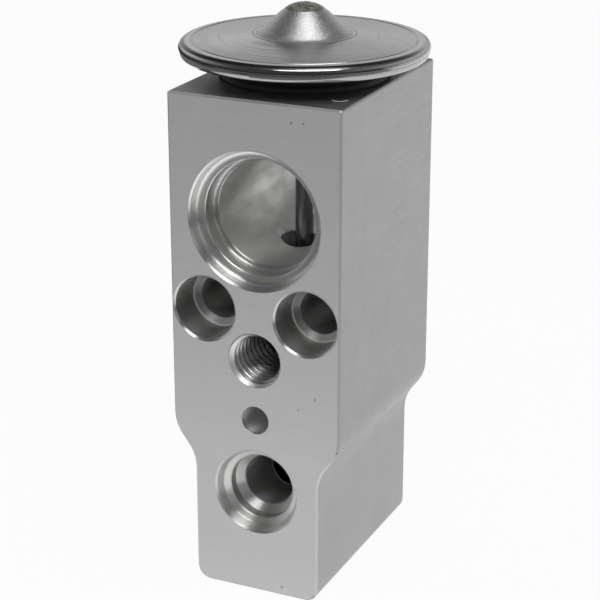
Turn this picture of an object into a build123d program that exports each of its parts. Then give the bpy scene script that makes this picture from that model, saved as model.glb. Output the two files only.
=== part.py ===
from build123d import *
import math
import os

# Block-type thermostatic expansion valve, in millimetres.
# Origin: centre of the block's foot. +Z runs up to the power head.
# The face with the two line ports and the stud hole looks along -Y,
# and the evaporator side looks along +Y.

# Block, an aluminium extrusion drawn along Y
BLOCK_DEPTH = 32.8
BLOCK_HEIGHT = 72.1
HEAD_END_WIDTH = 25.5
FOOT_END_WIDTH = 19.0
BEND_TOP_Z = 23.7
BEND_HEIGHT = 4.3
BEND_RADIUS = 6.0
FOOT_CORNER_RADIUS = 2.0
EDGE_BREAK = 0.3

# Suction line, straight through the block, with the same gland at both faces
SUCTION_Z = 55.45
SUCTION_BORE_RADIUS = 7.46
SUCTION_GLAND_RADIUS = 9.65
SUCTION_GLAND_DEPTH = 2.0
SUCTION_GLAND_CORNER = 0.95
SUCTION_STEP_RADIUS = 8.26
SUCTION_STEP_DEPTH = 2.4
SUCTION_STEP_CORNER = 0.5
STEP_EDGE = 0.1
PORT_LIP = 0.28

# Liquid inlet low on the line side, and feed outlet on the evaporator side
LIQUID_Z = 15.58
FEED_Z = 27.0
FEED_OVERRUN = 2.2
LIQUID_BORE_RADIUS = 3.75
LIQUID_MOUTH_RADIUS = 6.17
LIQUID_THROAT_RADIUS = 5.7
LIQUID_THROAT_DEPTH = 1.4
LIQUID_THROAT_CORNER = 0.6
LIQUID_SHOULDER_RISE = 0.44
LIQUID_GLAND_RADIUS = 4.84
LIQUID_GLAND_EDGE = 0.18
LIQUID_GLAND_DEPTH = 1.4

# Fixing holes in the line face
BOLT_Z = 42.0
BOLT_SPACING = 15.26
BOLT_HOLE_RADIUS = 3.25
BOLT_HEAD_RADIUS = 4.6
BOLT_HEAD_DEPTH = 5.0
BOLT_FLOOR_RADIUS = 4.2
BOLT_FLOOR_CORNER = 0.12
STUD_Z = 35.45
STUD_THREAD_RADIUS = 4.0
STUD_CORE_RADIUS = 3.35
STUD_THREAD_LENGTH = 11.0
PIN_Z = 26.57
PIN_HOLE_RADIUS = 2.02
PIN_HOLE_DEPTH = 7.0
PIN_LIP = 0.08
DRILL_POINT_ANGLE = 118.0
LIP_CHAMFER = 0.15

# Sensing rod and the bores that it runs in
ROD_RADIUS = 1.3
ROD_TIP_RADIUS = 0.75
ROD_FIT = 0.05
SENSING_BORE_RADIUS = 4.05
RECESS_OVERLAP = 0.05
RECESS_RADIUS = 3.35
RECESS_DEPTH = 3.7
ROD_RING_SECTION = 0.6
RETAINER_THICKNESS = 0.3
RETAINER_HOLE_GAP = 0.25
RETAINER_RIM = 0.5
RETAINER_RISE = 0.5
RETAINER_NOTCHES = 8
RETAINER_NOTCH_WIDTH = 1.1
SEAL_FIT = 0.03

# Orifice, seat and valve chamber
ORIFICE_RADIUS = 1.25
SEAT_MOUTH_RADIUS = 1.95
CHAMBER_TOP_Z = 20.6
CHAMBER_RADIUS = 5.0
BALL_RADIUS = 2.0
SEAT_FIT = 0.06
VALVE_LIFT = 0.8

# Ball holder, damping ring and spring
CUP_WALL = 0.7
CUP_FIT = 0.03
CUP_RIM_RISE = 0.1
HOLDER_FLANGE_RADIUS = 4.3
HOLDER_FLANGE_DROP = 2.6
HOLDER_FLANGE_THICKNESS = 1.2
HOLDER_STEM_LENGTH = 2.2
DAMPER_SHEET = 0.25
DAMPER_LEG_LENGTH = 2.6
DAMPER_LEGS = 6
DAMPER_SLOT = 2.4
DAMPER_FIT = 0.1
SPRING_WIRE = 0.8
SPRING_RADIUS = 3.4
SPRING_TURNS = 4.5
SPRING_GUIDE_GAP = 0.3

# Adjusting screw, in the foot of the block
SCREW_THREAD_RADIUS = 6.0
SCREW_PITCH = 1.0
SCREW_TURNS_EACH_WAY = 1.0
SCREW_RECESS = 1.2
SCREW_THREAD_LENGTH = 3.8
SCREW_LAND_LENGTH = 4.2
SCREW_FIT = 0.05
SCREW_END_GAP = 0.3
THREAD_CHAMFER = 0.5
SCREW_SEAT_GUIDE_HEIGHT = 1.0
SCREW_RING_SECTION = 0.6
SCREW_GROOVE_SLACK = 0.15
SCREW_TOP_LAND = 0.6
HEX_KEY_SIZE = 5.0
HEX_SOCKET_DEPTH = 3.0

# Power head: two welded shells on a threaded neck
SOCKET_RADIUS = 10.0
SOCKET_DEPTH = 5.6
NECK_FIT = 0.05
NECK_END_GAP = 0.4
NECK_WALL = 2.75
NECK_CHAMFER = 0.6
HEAD_GAP = 1.2
HEAD_RING_SECTION = 0.9
HOUSING_HEIGHT = 2.45
HOUSING_SHEET = 0.7
CORNER_BEND = 0.8
SEAM_RADIUS = 17.2
HOUSING_SLOPE_WIDTH = 5.0
HOUSING_BEND_WIDTH = 0.1
HOUSING_BEND_DROP = 0.8
HOUSING_BEND_CORNER = 0.9
DIAPHRAGM_THICKNESS = 0.2
DIAPHRAGM_WAVES = 3
DIAPHRAGM_WAVE_PITCH = 1.5
DIAPHRAGM_WAVE_DEPTH = 0.3
CLAMP_WIDTH = 2.25
CLAMP_LIP = 0.5
WELD_STEP = 0.1
COVER_OVERHANG = 0.22
COVER_RIM_HEIGHT = 1.15
COVER_RIM_CORNER = 0.9
COVER_RIM_DROP = 0.12
COVER_SHEET = 0.75
COVER_RIM_WIDTH = 2.08
COVER_STEP_DEPTH = 0.12
CROWN_RISE = 0.85
CONE_FOOT_RADIUS = 6.4
CONE_FOOT_BEND = 1.6
CONE_SHOULDER_RADIUS = 3.5
CONE_SHOULDER_HEIGHT = 2.7
CONE_SHOULDER_BEND = 3.0
CONE_HEIGHT = 3.4
PLUG_RECESS_RADIUS = 2.6
PLUG_RECESS_DEPTH = 1.0
PLUG_SHANK_RADIUS = 0.8
PLUG_SHANK_LENGTH = 1.4
PLUG_HEAD_RADIUS = 1.3
PLUG_HEAD_HEIGHT = 0.4
SEALANT_CROWN = 0.88
SEALANT_FIT = 0.02
STOP_RADIUS = 8.6
STOP_GAP = 0.03
STOP_LANDING_GAP = 0.12
STOP_BOSS_RADIUS = 3.2
STOP_BOSS_LENGTH = 3.9
STOP_ROD_DEPTH = 3.4
ROD_SOCKET_FIT = 0.02

# Radii and heights that follow from the sizes above
FACE_Y = BLOCK_DEPTH / 2
OVERSHOOT = 1.0
SLOPE_45 = math.sqrt(0.5)
HOUSING_FOOT_RADIUS = SEAM_RADIUS - HOUSING_SLOPE_WIDTH
HOUSING_BEND_RADIUS = SEAM_RADIUS - HOUSING_BEND_WIDTH
CLAMP_RADIUS = SEAM_RADIUS - CLAMP_WIDTH
COVER_RADIUS = SEAM_RADIUS + COVER_OVERHANG
COVER_STEP_RADIUS = COVER_RADIUS - COVER_RIM_WIDTH
SUCTION_FLOOR_Z = SUCTION_Z - SUCTION_BORE_RADIUS
RECESS_MOUTH_RISE = math.sqrt(SUCTION_BORE_RADIUS ** 2 - SENSING_BORE_RADIUS ** 2)
RECESS_CONE_Z = SUCTION_Z - RECESS_MOUTH_RISE - RECESS_OVERLAP
RECESS_FLOOR_Z = SUCTION_FLOOR_Z - RECESS_DEPTH
ROD_RING_RADIUS = ROD_RADIUS + SEAL_FIT + ROD_RING_SECTION
ROD_RING_POCKET_RADIUS = ROD_RING_RADIUS + ROD_RING_SECTION + SEAL_FIT
ROD_RING_POCKET_Z = RECESS_FLOOR_Z - 2 * ROD_RING_SECTION - SEAL_FIT
SOCKET_FLOOR_Z = BLOCK_HEIGHT - SOCKET_DEPTH
NECK_RADIUS = SOCKET_RADIUS - NECK_FIT
HOUSING_UNDERSIDE_Z = BLOCK_HEIGHT + HEAD_GAP
HOUSING_FLOOR_Z = HOUSING_UNDERSIDE_Z + HOUSING_SHEET
SEAM_Z = HOUSING_UNDERSIDE_Z + HOUSING_HEIGHT
COVER_UNDERSIDE_Z = SEAM_Z + DIAPHRAGM_THICKNESS
COVER_TOP_Z = COVER_UNDERSIDE_Z + COVER_RIM_HEIGHT
CROWN_Z = COVER_TOP_Z + CROWN_RISE
CONE_SHOULDER_Z = CROWN_Z + CONE_SHOULDER_HEIGHT
CONE_TOP_Z = CROWN_Z + CONE_HEIGHT
PLUG_FLOOR_Z = CONE_TOP_Z - PLUG_RECESS_DEPTH
STOP_TOP_Z = SEAM_Z - STOP_GAP
STOP_UNDER_Z = HOUSING_FLOOR_Z + VALVE_LIFT + STOP_LANDING_GAP
BOSS_END_Z = STOP_UNDER_Z - STOP_BOSS_LENGTH
BALL_Z = (
    CHAMBER_TOP_Z
    + SEAT_MOUTH_RADIUS
    - 2 * BALL_RADIUS * SLOPE_45
    - SEAT_FIT / SLOPE_45
)
HOLDER_FLANGE_Z = BALL_Z - HOLDER_FLANGE_DROP
SPRING_TOP_Z = HOLDER_FLANGE_Z - HOLDER_FLANGE_THICKNESS
SPRING_GUIDE_RADIUS = SPRING_RADIUS - SPRING_WIRE / 2 - SPRING_GUIDE_GAP
SCREW_TRAVEL = SCREW_PITCH * SCREW_TURNS_EACH_WAY
SCREW_THREAD_TOP_Z = SCREW_RECESS + SCREW_THREAD_LENGTH
SCREW_BORE_TOP_Z = SCREW_THREAD_TOP_Z + SCREW_TRAVEL + SCREW_END_GAP
SPRING_SEAT_Z = SCREW_THREAD_TOP_Z + SCREW_LAND_LENGTH
SCREW_GROOVE_WIDTH = 2 * SCREW_RING_SECTION + SCREW_GROOVE_SLACK
SCREW_GROOVE_Z = SPRING_SEAT_Z - SCREW_TOP_LAND - SCREW_GROOVE_WIDTH
SCREW_RING_RADIUS = CHAMBER_RADIUS - SEAL_FIT - SCREW_RING_SECTION


def turned(outline):
    """Revolve (radius, height, corner radius) points about the Z axis."""
    points = [(radius, height) for radius, height, corner in outline]
    corners = [corner for radius, height, corner in outline]
    section = make_face(FilletPolyline(*points, radius=corners, close=True))
    return revolve(Plane.XZ * section, Axis.Z)


def into_line_face(cutter, x, z):
    """Lay a turned cutter so that its height runs in from the -Y face."""
    return Pos(x, -FACE_Y, z) * Rot(-90, 0, 0) * cutter


def into_evaporator_face(cutter, x, z):
    """Lay a turned cutter so that its height runs in from the +Y face."""
    return Pos(x, FACE_Y, z) * Rot(90, 0, 0) * cutter


def drill_point(radius):
    """Height of the cone that a twist drill leaves at a hole's end."""
    return radius / math.tan(math.radians(DRILL_POINT_ANGLE / 2))


def block_blank():
    half_head = HEAD_END_WIDTH / 2
    half_foot = FOOT_END_WIDTH / 2
    bend_foot_z = BEND_TOP_Z - BEND_HEIGHT
    right_side = [
        (half_foot, 0, FOOT_CORNER_RADIUS),
        (half_foot, bend_foot_z, BEND_RADIUS),
        (half_head, BEND_TOP_Z, BEND_RADIUS),
        (half_head, BLOCK_HEIGHT, EDGE_BREAK),
    ]
    left_side = [(-x, z, corner) for x, z, corner in reversed(right_side)]
    outline = right_side + left_side
    points = [(x, z) for x, z, corner in outline]
    corners = [corner for x, z, corner in outline]
    profile = make_face(FilletPolyline(*points, radius=corners, close=True))
    blank = extrude(Plane.XZ * profile, BLOCK_DEPTH / 2, both=True)
    face_edges = blank.edges().group_by(Axis.Y)
    return chamfer(face_edges[0] + face_edges[-1], EDGE_BREAK)


def suction_gland():
    """Two-step mouth of the suction bore, measured in from a face."""
    gland_end = SUCTION_GLAND_DEPTH
    step_end = gland_end + SUCTION_STEP_DEPTH
    return turned([
        (0, -OVERSHOOT, 0),
        (SUCTION_GLAND_RADIUS + PORT_LIP, -OVERSHOOT, 0),
        (SUCTION_GLAND_RADIUS + PORT_LIP, 0, 0),
        (SUCTION_GLAND_RADIUS, PORT_LIP, 0),
        (SUCTION_GLAND_RADIUS, gland_end, SUCTION_GLAND_CORNER),
        (SUCTION_STEP_RADIUS + STEP_EDGE, gland_end, 0),
        (SUCTION_STEP_RADIUS, gland_end + STEP_EDGE, 0),
        (SUCTION_STEP_RADIUS, step_end, SUCTION_STEP_CORNER),
        (SUCTION_BORE_RADIUS + STEP_EDGE, step_end, 0),
        (SUCTION_BORE_RADIUS, step_end + STEP_EDGE, 0),
        (SUCTION_BORE_RADIUS, FACE_Y, 0),
        (0, FACE_Y, 0),
    ])


def liquid_gland(bore_length):
    """Funnelled mouth, gland and bore of a liquid port, measured in from a face."""
    shoulder_end = LIQUID_THROAT_DEPTH + LIQUID_SHOULDER_RISE
    gland_start = shoulder_end + LIQUID_GLAND_EDGE
    gland_end = gland_start + LIQUID_GLAND_DEPTH
    bore_start = gland_end + LIQUID_GLAND_RADIUS - LIQUID_BORE_RADIUS
    return turned([
        (0, -OVERSHOOT, 0),
        (LIQUID_MOUTH_RADIUS + PORT_LIP, -OVERSHOOT, 0),
        (LIQUID_MOUTH_RADIUS + PORT_LIP, 0, 0),
        (LIQUID_MOUTH_RADIUS, PORT_LIP, 0),
        (LIQUID_THROAT_RADIUS, LIQUID_THROAT_DEPTH, LIQUID_THROAT_CORNER),
        (LIQUID_GLAND_RADIUS + LIQUID_GLAND_EDGE, shoulder_end, 0),
        (LIQUID_GLAND_RADIUS, gland_start, 0),
        (LIQUID_GLAND_RADIUS, gland_end, 0),
        (LIQUID_BORE_RADIUS, bore_start, 0),
        (LIQUID_BORE_RADIUS, bore_length, 0),
        (0, bore_length + drill_point(LIQUID_BORE_RADIUS), 0),
    ])


def bolt_hole():
    """Counterbored through hole. The counterbore draws in to a coned floor."""
    floor_drop = drill_point(BOLT_FLOOR_RADIUS) - drill_point(BOLT_HOLE_RADIUS)
    return turned([
        (0, -OVERSHOOT, 0),
        (BOLT_HEAD_RADIUS + PORT_LIP, -OVERSHOOT, 0),
        (BOLT_HEAD_RADIUS + PORT_LIP, 0, 0),
        (BOLT_HEAD_RADIUS, PORT_LIP, 0),
        (BOLT_FLOOR_RADIUS, BOLT_HEAD_DEPTH, BOLT_FLOOR_CORNER),
        (BOLT_HOLE_RADIUS, BOLT_HEAD_DEPTH + floor_drop, 0),
        (BOLT_HOLE_RADIUS, BLOCK_DEPTH + OVERSHOOT, 0),
        (0, BLOCK_DEPTH + OVERSHOOT, 0),
    ])


def stud_hole():
    """Blind hole at the thread's outer radius, with a core drill's point."""
    return turned([
        (0, -OVERSHOOT, 0),
        (STUD_THREAD_RADIUS, -OVERSHOOT, 0),
        (STUD_THREAD_RADIUS, STUD_THREAD_LENGTH, 0),
        (STUD_CORE_RADIUS, STUD_THREAD_LENGTH, 0),
        (0, STUD_THREAD_LENGTH + drill_point(STUD_CORE_RADIUS), 0),
    ])


def pin_hole():
    lip = PIN_HOLE_RADIUS + PIN_LIP
    return turned([
        (0, -OVERSHOOT, 0),
        (lip, -OVERSHOOT, 0),
        (lip, 0, 0),
        (PIN_HOLE_RADIUS, PIN_LIP, 0),
        (PIN_HOLE_RADIUS, PIN_HOLE_DEPTH, 0),
        (0, PIN_HOLE_DEPTH + drill_point(PIN_HOLE_RADIUS), 0),
    ])


def head_and_rod_bore():
    """Bore from the top: socket, sensing bore, coned recess, seal pocket, rod bore."""
    rod_bore = ROD_RADIUS + ROD_FIT
    section_gap = HEAD_RING_SECTION + SEAL_FIT
    ring_seat = NECK_RADIUS + (2 + 1 / SLOPE_45) * section_gap - HEAD_GAP
    return turned([
        (0, BLOCK_HEIGHT + OVERSHOOT, 0),
        (ring_seat, BLOCK_HEIGHT + OVERSHOOT, 0),
        (ring_seat, BLOCK_HEIGHT, 0),
        (SOCKET_RADIUS, BLOCK_HEIGHT - ring_seat + SOCKET_RADIUS, 0),
        (SOCKET_RADIUS, SOCKET_FLOOR_Z, 0),
        (SENSING_BORE_RADIUS, SOCKET_FLOOR_Z, 0),
        (SENSING_BORE_RADIUS, RECESS_CONE_Z, 0),
        (RECESS_RADIUS, RECESS_CONE_Z - SENSING_BORE_RADIUS + RECESS_RADIUS, 0),
        (RECESS_RADIUS, RECESS_FLOOR_Z, 0),
        (ROD_RING_POCKET_RADIUS, RECESS_FLOOR_Z, 0),
        (ROD_RING_POCKET_RADIUS, ROD_RING_POCKET_Z, 0),
        (rod_bore, ROD_RING_POCKET_Z, 0),
        (rod_bore, FEED_Z, 0),
        (0, FEED_Z, 0),
    ])


def seat_and_chamber_bore():
    """Bore from the foot: screw thread, chamber, seat cone and orifice."""
    lip = SCREW_THREAD_RADIUS + THREAD_CHAMFER
    seat_depth = SEAT_MOUTH_RADIUS - ORIFICE_RADIUS
    return turned([
        (0, -OVERSHOOT, 0),
        (lip, -OVERSHOOT, 0),
        (lip, 0, 0),
        (SCREW_THREAD_RADIUS, THREAD_CHAMFER, 0),
        (SCREW_THREAD_RADIUS, SCREW_BORE_TOP_Z, 0),
        (CHAMBER_RADIUS, SCREW_BORE_TOP_Z, 0),
        (CHAMBER_RADIUS, CHAMBER_TOP_Z, 0),
        (SEAT_MOUTH_RADIUS, CHAMBER_TOP_Z, 0),
        (ORIFICE_RADIUS, CHAMBER_TOP_Z + seat_depth, 0),
        (ORIFICE_RADIUS, FEED_Z, 0),
        (0, FEED_Z, 0),
    ])


def valve_body():
    body = block_blank()
    body -= into_line_face(suction_gland(), 0, SUCTION_Z)
    body -= into_evaporator_face(suction_gland(), 0, SUCTION_Z)
    body -= into_line_face(liquid_gland(FACE_Y), 0, LIQUID_Z)
    body -= into_evaporator_face(liquid_gland(FACE_Y + FEED_OVERRUN), 0, FEED_Z)
    for x in (-BOLT_SPACING / 2, BOLT_SPACING / 2):
        body -= into_line_face(bolt_hole(), x, BOLT_Z)
    body -= into_line_face(stud_hole(), 0, STUD_Z)
    body -= into_line_face(pin_hole(), 0, PIN_Z)
    body -= head_and_rod_bore()
    body -= seat_and_chamber_bore()
    return body


def upper_diaphragm_cover():
    """Pressed shell with a crowned face and a round-shouldered cone for the plug."""
    cone_slope = (CONE_FOOT_RADIUS - CONE_SHOULDER_RADIUS) / CONE_SHOULDER_HEIGHT
    inner_shift = COVER_SHEET * math.hypot(1, cone_slope)
    cavity_top_z = PLUG_FLOOR_Z - COVER_SHEET
    cavity_foot_z = CROWN_Z - COVER_SHEET
    cavity_top_radius = CONE_SHOULDER_RADIUS - inner_shift
    cavity_top_radius += (CONE_SHOULDER_Z - cavity_top_z) * cone_slope
    cavity_foot_radius = cavity_top_radius + (cavity_top_z - cavity_foot_z) * cone_slope
    step_z = COVER_TOP_Z - COVER_STEP_DEPTH
    return turned([
        (PLUG_SHANK_RADIUS, PLUG_FLOOR_Z, 0),
        (PLUG_RECESS_RADIUS, PLUG_FLOOR_Z, 0.2),
        (PLUG_RECESS_RADIUS, CONE_TOP_Z, 0.06),
        (CONE_SHOULDER_RADIUS, CONE_SHOULDER_Z, CONE_SHOULDER_BEND),
        (CONE_FOOT_RADIUS, CROWN_Z, CONE_FOOT_BEND),
        (COVER_STEP_RADIUS, COVER_TOP_Z, 0),
        (COVER_STEP_RADIUS + COVER_STEP_DEPTH, step_z, 0),
        (COVER_STEP_RADIUS + 3 * COVER_STEP_DEPTH, COVER_TOP_Z, 0),
        (COVER_RADIUS, COVER_TOP_Z - COVER_RIM_DROP, COVER_RIM_CORNER),
        (COVER_RADIUS - WELD_STEP, COVER_UNDERSIDE_Z, 0.08),
        (CLAMP_RADIUS, COVER_UNDERSIDE_Z, 0.1),
        (CLAMP_RADIUS - CLAMP_LIP, COVER_UNDERSIDE_Z + CLAMP_LIP / 2, 0.2),
        (cavity_foot_radius, cavity_foot_z, CORNER_BEND),
        (cavity_top_radius, cavity_top_z, 0.3),
        (PLUG_SHANK_RADIUS, cavity_top_z, 0),
    ])


def charge_plug():
    """Headed pin that closes the charging hole."""
    return turned([
        (0, PLUG_FLOOR_Z - PLUG_SHANK_LENGTH, 0),
        (PLUG_SHANK_RADIUS - LIP_CHAMFER, PLUG_FLOOR_Z - PLUG_SHANK_LENGTH, 0),
        (PLUG_SHANK_RADIUS, PLUG_FLOOR_Z - PLUG_SHANK_LENGTH + LIP_CHAMFER, 0),
        (PLUG_SHANK_RADIUS, PLUG_FLOOR_Z, 0),
        (PLUG_HEAD_RADIUS, PLUG_FLOOR_Z, 0),
        (PLUG_HEAD_RADIUS, PLUG_FLOOR_Z + PLUG_HEAD_HEIGHT, 0.1),
        (0, PLUG_FLOOR_Z + PLUG_HEAD_HEIGHT, 0),
    ])


def plug_sealant():
    """Compound that fills the recess over the plug and domes above it."""
    crown_sphere = (PLUG_RECESS_RADIUS ** 2 + SEALANT_CROWN ** 2) / (2 * SEALANT_CROWN)
    fill_radius = PLUG_RECESS_RADIUS - SEALANT_FIT
    fill = turned([
        (0, PLUG_FLOOR_Z, 0),
        (fill_radius, PLUG_FLOOR_Z, 0.22),
        (fill_radius, CONE_TOP_Z + SEALANT_CROWN, 0),
        (0, CONE_TOP_Z + SEALANT_CROWN, 0),
    ])
    fill &= Pos(0, 0, CONE_TOP_Z + SEALANT_CROWN - crown_sphere) * Sphere(crown_sphere)
    return fill - charge_plug()


def lower_diaphragm_housing():
    """Pressed shell with the threaded neck that screws into the block."""
    neck_bore = NECK_RADIUS - NECK_WALL
    neck_end_z = SOCKET_FLOOR_Z + NECK_END_GAP
    bend_z = SEAM_Z - HOUSING_BEND_DROP
    return turned([
        (neck_bore, neck_end_z, 0.2),
        (NECK_RADIUS - NECK_CHAMFER, neck_end_z, 0),
        (NECK_RADIUS, neck_end_z + NECK_CHAMFER, 0),
        (NECK_RADIUS, HOUSING_UNDERSIDE_Z, 0),
        (HOUSING_FOOT_RADIUS, HOUSING_UNDERSIDE_Z, CORNER_BEND),
        (HOUSING_BEND_RADIUS, bend_z, HOUSING_BEND_CORNER),
        (SEAM_RADIUS, SEAM_Z, 0.1),
        (CLAMP_RADIUS, SEAM_Z, 0.15),
        (HOUSING_FOOT_RADIUS, HOUSING_FLOOR_Z, CORNER_BEND),
        (neck_bore, HOUSING_FLOOR_Z, 0.4),
    ])


def diaphragm():
    """Thin sheet disc, clamped at the seam, with rings of corrugation."""
    wave_end = CLAMP_RADIUS - DIAPHRAGM_WAVE_DEPTH
    wave_start = wave_end - DIAPHRAGM_WAVES * DIAPHRAGM_WAVE_PITCH
    crest = []
    for wave in range(DIAPHRAGM_WAVES):
        trough_radius = wave_start + (wave + 0.5) * DIAPHRAGM_WAVE_PITCH
        crest.append((trough_radius - DIAPHRAGM_WAVE_PITCH / 2, 0))
        crest.append((trough_radius, -DIAPHRAGM_WAVE_DEPTH))
    crest.append((wave_end, 0))
    ends = [(0, 0), (SEAM_RADIUS, 0)]
    line = [ends[0]] + crest + [ends[1]]
    corner = [0] + [2 * DIAPHRAGM_THICKNESS] * len(crest) + [0]
    upper = [(r, COVER_UNDERSIDE_Z + z, c) for (r, z), c in zip(line, corner)]
    lower = [(r, SEAM_Z + z, c) for (r, z), c in zip(line, corner)]
    return turned(upper + lower[::-1])


def diaphragm_stop():
    """Disc under the diaphragm, with a boss that takes the rod's end."""
    rod_socket = ROD_RADIUS + ROD_SOCKET_FIT
    socket_end_z = BOSS_END_Z + STOP_ROD_DEPTH + ROD_SOCKET_FIT
    return turned([
        (rod_socket, BOSS_END_Z, 0),
        (STOP_BOSS_RADIUS, BOSS_END_Z, 0.3),
        (STOP_BOSS_RADIUS, STOP_UNDER_Z, 0.4),
        (STOP_RADIUS, STOP_UNDER_Z, 0.3),
        (STOP_RADIUS, STOP_TOP_Z, 0.2),
        (0, STOP_TOP_Z, 0),
        (0, socket_end_z, 0),
        (rod_socket, socket_end_z, 0),
    ])


def head_o_ring():
    """Ring in the coned mouth of the socket, under the lower shell."""
    section_gap = HEAD_RING_SECTION + SEAL_FIT
    place = Pos(0, 0, HOUSING_UNDERSIDE_Z - section_gap)
    return place * Torus(NECK_RADIUS + section_gap, HEAD_RING_SECTION)


def sensing_rod():
    """Rod from the stop to the ball, with a thin tip through the orifice."""
    tip_z = BALL_Z + BALL_RADIUS + ROD_SOCKET_FIT
    shoulder_z = FEED_Z - LIQUID_BORE_RADIUS / 3
    top_z = BOSS_END_Z + STOP_ROD_DEPTH
    return turned([
        (0, tip_z, 0),
        (ROD_TIP_RADIUS, tip_z, 0.1),
        (ROD_TIP_RADIUS, shoulder_z, 0),
        (ROD_RADIUS, shoulder_z + ROD_RADIUS - ROD_TIP_RADIUS, 0),
        (ROD_RADIUS, top_z, 0.2),
        (0, top_z, 0),
    ])


def rod_o_ring():
    place = Pos(0, 0, ROD_RING_POCKET_Z + ROD_RING_SECTION)
    return place * Torus(ROD_RING_RADIUS, ROD_RING_SECTION)


def rod_ring_retainer():
    """Notched push-in washer that keeps the rod's ring in its pocket."""
    outer = RECESS_RADIUS - SEAL_FIT
    hole = ROD_RADIUS + RETAINER_HOLE_GAP
    inner = outer - RETAINER_RIM
    rim_z = RECESS_FLOOR_Z + RETAINER_RISE
    rim_height = RETAINER_RISE + RETAINER_THICKNESS
    washer = turned([
        (hole, RECESS_FLOOR_Z, 0),
        (inner, RECESS_FLOOR_Z, 0),
        (outer, rim_z, 0),
        (outer, rim_z + RETAINER_THICKNESS, 0),
        (inner, RECESS_FLOOR_Z + RETAINER_THICKNESS, 0),
        (hole, RECESS_FLOOR_Z + RETAINER_THICKNESS, 0),
    ])
    notch_depth = 2 * (RETAINER_RIM - SEAL_FIT) - LIP_CHAMFER
    notch = Pos(outer, 0, RECESS_FLOOR_Z) * Box(notch_depth, RETAINER_NOTCH_WIDTH, 4 * rim_height)
    for turn in range(RETAINER_NOTCHES):
        washer -= Rot(0, 0, turn * 360 / RETAINER_NOTCHES) * notch
    return washer


def valve_ball():
    return Pos(0, 0, BALL_Z) * Sphere(BALL_RADIUS)


def ball_holder():
    """Cup for the ball over a flange that the spring pushes on."""
    cup_bore = BALL_RADIUS + CUP_FIT
    cup_radius = cup_bore + CUP_WALL
    apex_z = BALL_Z - (BALL_RADIUS + CUP_FIT) / SLOPE_45
    rim_z = BALL_Z + CUP_RIM_RISE
    stem_z = SPRING_TOP_Z - HOLDER_STEM_LENGTH
    return turned([
        (0, stem_z, 0),
        (SPRING_GUIDE_RADIUS, stem_z, 0.4),
        (SPRING_GUIDE_RADIUS, SPRING_TOP_Z, 0),
        (HOLDER_FLANGE_RADIUS, SPRING_TOP_Z, 0.15),
        (HOLDER_FLANGE_RADIUS, HOLDER_FLANGE_Z, 0.15),
        (cup_radius, HOLDER_FLANGE_Z, 0),
        (cup_radius, rim_z, 0.15),
        (cup_bore, rim_z, 0),
        (cup_bore, apex_z + cup_bore, 0),
        (0, apex_z, 0),
    ])


def holder_damping_ring():
    """Sheet ring on the holder, whose bent legs rub on the chamber wall."""
    hole = BALL_RADIUS + 2 * CUP_FIT + CUP_WALL
    outer = CHAMBER_RADIUS - DAMPER_FIT
    inner = outer - DAMPER_SHEET
    leg_z = HOLDER_FLANGE_Z + DAMPER_SHEET - DAMPER_LEG_LENGTH
    ring = turned([
        (hole, HOLDER_FLANGE_Z, 0),
        (inner, HOLDER_FLANGE_Z, 0),
        (inner, leg_z, 0),
        (outer, leg_z, 0),
        (outer, HOLDER_FLANGE_Z + DAMPER_SHEET, 0.2),
        (hole, HOLDER_FLANGE_Z + DAMPER_SHEET, 0),
    ])
    slot_height = 2 * DAMPER_LEG_LENGTH - 4 * DAMPER_SHEET
    slot = Pos(outer, 0, leg_z) * Box(8 * DAMPER_SHEET, DAMPER_SLOT, slot_height)
    for leg in range(DAMPER_LEGS):
        ring -= Rot(0, 0, leg * 360 / DAMPER_LEGS) * slot
    return ring


def superheat_spring():
    """Coil between the screw and the holder, with ends ground flat."""
    length = SPRING_TOP_Z - SPRING_SEAT_Z
    pitch = length / SPRING_TURNS
    coil_path = Helix(pitch=pitch, height=length, radius=SPRING_RADIUS)
    section = Plane(coil_path @ 0, z_dir=coil_path % 0) * Circle(SPRING_WIRE / 2)
    coil = Pos(0, 0, SPRING_SEAT_Z) * sweep(section, path=coil_path, is_frenet=True)
    envelope = Cylinder(
        SPRING_RADIUS + SPRING_WIRE, length, align=(Align.CENTER, Align.CENTER, Align.MIN)
    )
    return coil & (Pos(0, 0, SPRING_SEAT_Z) * envelope)


def adjusting_screw():
    """Hollow-hex screw that sets the spring, with a ring groove on top."""
    thread_radius = SCREW_THREAD_RADIUS - SCREW_FIT
    land_radius = CHAMBER_RADIUS - SCREW_FIT
    groove_radius = SCREW_RING_RADIUS - SCREW_RING_SECTION - SEAL_FIT
    guide_top_z = SPRING_SEAT_Z + SCREW_SEAT_GUIDE_HEIGHT
    screw = turned([
        (0, SCREW_RECESS, 0),
        (thread_radius - THREAD_CHAMFER, SCREW_RECESS, 0),
        (thread_radius, SCREW_RECESS + THREAD_CHAMFER, 0),
        (thread_radius, SCREW_THREAD_TOP_Z, 0),
        (land_radius, SCREW_THREAD_TOP_Z, 0),
        (land_radius, SCREW_GROOVE_Z, 0),
        (groove_radius, SCREW_GROOVE_Z, 0),
        (groove_radius, SCREW_GROOVE_Z + SCREW_GROOVE_WIDTH, 0),
        (land_radius, SCREW_GROOVE_Z + SCREW_GROOVE_WIDTH, 0),
        (land_radius, SPRING_SEAT_Z, 0.15),
        (SPRING_GUIDE_RADIUS, SPRING_SEAT_Z, 0),
        (SPRING_GUIDE_RADIUS, guide_top_z, 0.3),
        (0, guide_top_z, 0),
    ])
    hexagon = RegularPolygon(HEX_KEY_SIZE / 2, 6, major_radius=False)
    socket = extrude(hexagon, HEX_SOCKET_DEPTH + OVERSHOOT)
    return screw - Pos(0, 0, SCREW_RECESS - OVERSHOOT) * socket


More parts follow.
